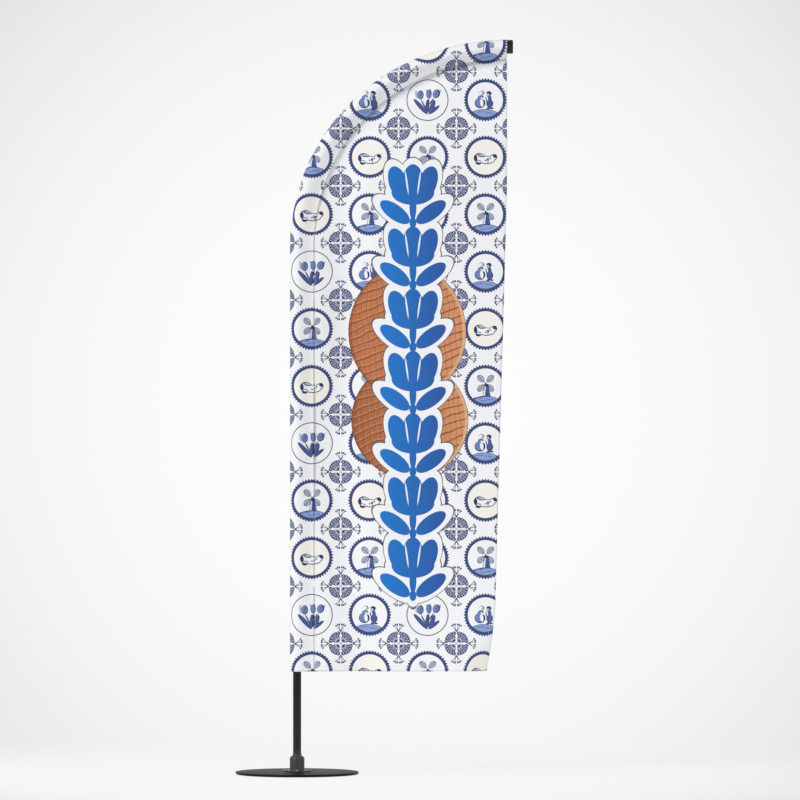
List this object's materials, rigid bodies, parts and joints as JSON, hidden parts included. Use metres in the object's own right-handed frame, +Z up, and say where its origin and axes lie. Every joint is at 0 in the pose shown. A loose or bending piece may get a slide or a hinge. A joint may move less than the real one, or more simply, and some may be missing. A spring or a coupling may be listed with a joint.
{
  "type": "feather flag with pole",
  "caption": "Feather-shaped printed flag on a plug-together pole that bends over at the top, turning on a bearing hub screwed to a flat round base plate.",
  "frame": {"origin": "the pole's axis at floor level, in the middle of the base's underside", "axes": "+Z up along the pole, +X from the pole towards the flag's free edge, -Y out of the flag's front"},
  "size_m": [0.8789, 0.39, 2.3265],
  "materials": {
    "mat_rubber": "matt moulded rubber",
    "base_paint": "satin black powder coat",
    "hub_paint": "satin dark grey coat",
    "screw_steel": "zinc plated",
    "bearing_steel": "ground",
    "ball_steel": "polished",
    "spacer_aluminium": "turned",
    "spring_steel": "oiled spring steel",
    "seal_rubber": "smooth rubber",
    "cage_brass": "satin",
    "spindle_steel": "turned and black oxidised",
    "pole_coating": "black anodised",
    "fibre_rod": "pultruded glass fibre",
    "ferrule_aluminium": "turned",
    "cap_plastic": "moulded black plastic",
    "flag_cloth": "printed knitted polyester",
    "collar_nylon": "moulded nylon",
    "strap_webbing": "woven webbing"
  },
  "bodies": {
    "base": {"base_mat": "mat_rubber", "base_plate": "base_paint", "hub_housing": "hub_paint", "flange_bolts": "screw_steel", "lower_outer_ring": "bearing_steel", "upper_outer_ring": "bearing_steel", "outer_spacer": "spacer_aluminium", "bearing_circlip": "spring_steel", "dust_seal": "seal_rubber"},
    "lower_cage": {"lower_ball_cage": "cage_brass", "lower_balls": "ball_steel"},
    "upper_cage": {"upper_ball_cage": "cage_brass", "upper_balls": "ball_steel"},
    "spindle": {"spindle": "spindle_steel", "lower_inner_ring": "bearing_steel", "upper_inner_ring": "bearing_steel", "inner_spacer": "spacer_aluminium", "lock_washer": "screw_steel", "lock_nut": "screw_steel", "spigot_o_rings": "seal_rubber"},
    "pole": {"lower_pole": "pole_coating", "middle_pole": "pole_coating", "bend_pole": "fibre_rod", "tip_pole": "fibre_rod", "lower_ferrule": "ferrule_aluminium", "middle_ferrule": "ferrule_aluminium", "tip_ferrule": "ferrule_aluminium", "tip_cap": "cap_plastic", "flag_panel": "flag_cloth", "pole_sleeve": "flag_cloth", "side_hem": "flag_cloth", "bottom_hem": "flag_cloth", "tension_collar": "collar_nylon", "collar_screw": "screw_steel", "tension_strap": "strap_webbing"}
  },
  "joints": [
    {"name": "pole_spin", "type": "hinge", "parent": "base", "child": "spindle", "pos_m": [0, 0, 0.034], "axis": [0, 0, 1], "continuous": true},
    {"name": "lower_cage_spin", "type": "hinge", "parent": "base", "child": "lower_cage", "pos_m": [0, 0, 0.024], "axis": [0, 0, 1], "continuous": true},
    {"name": "upper_cage_spin", "type": "hinge", "parent": "base", "child": "upper_cage", "pos_m": [0, 0, 0.044], "axis": [0, 0, 1], "continuous": true},
    {"name": "pole_lift", "type": "slide", "parent": "spindle", "child": "pole", "axis": [0, 0, 1], "range_m": [0, 0.16]}
  ],
  "couplings": [
    {"joint": "lower_cage_spin", "follows": "pole_spin", "ratio": 0.381},
    {"joint": "upper_cage_spin", "follows": "pole_spin", "ratio": 0.381}
  ]
}
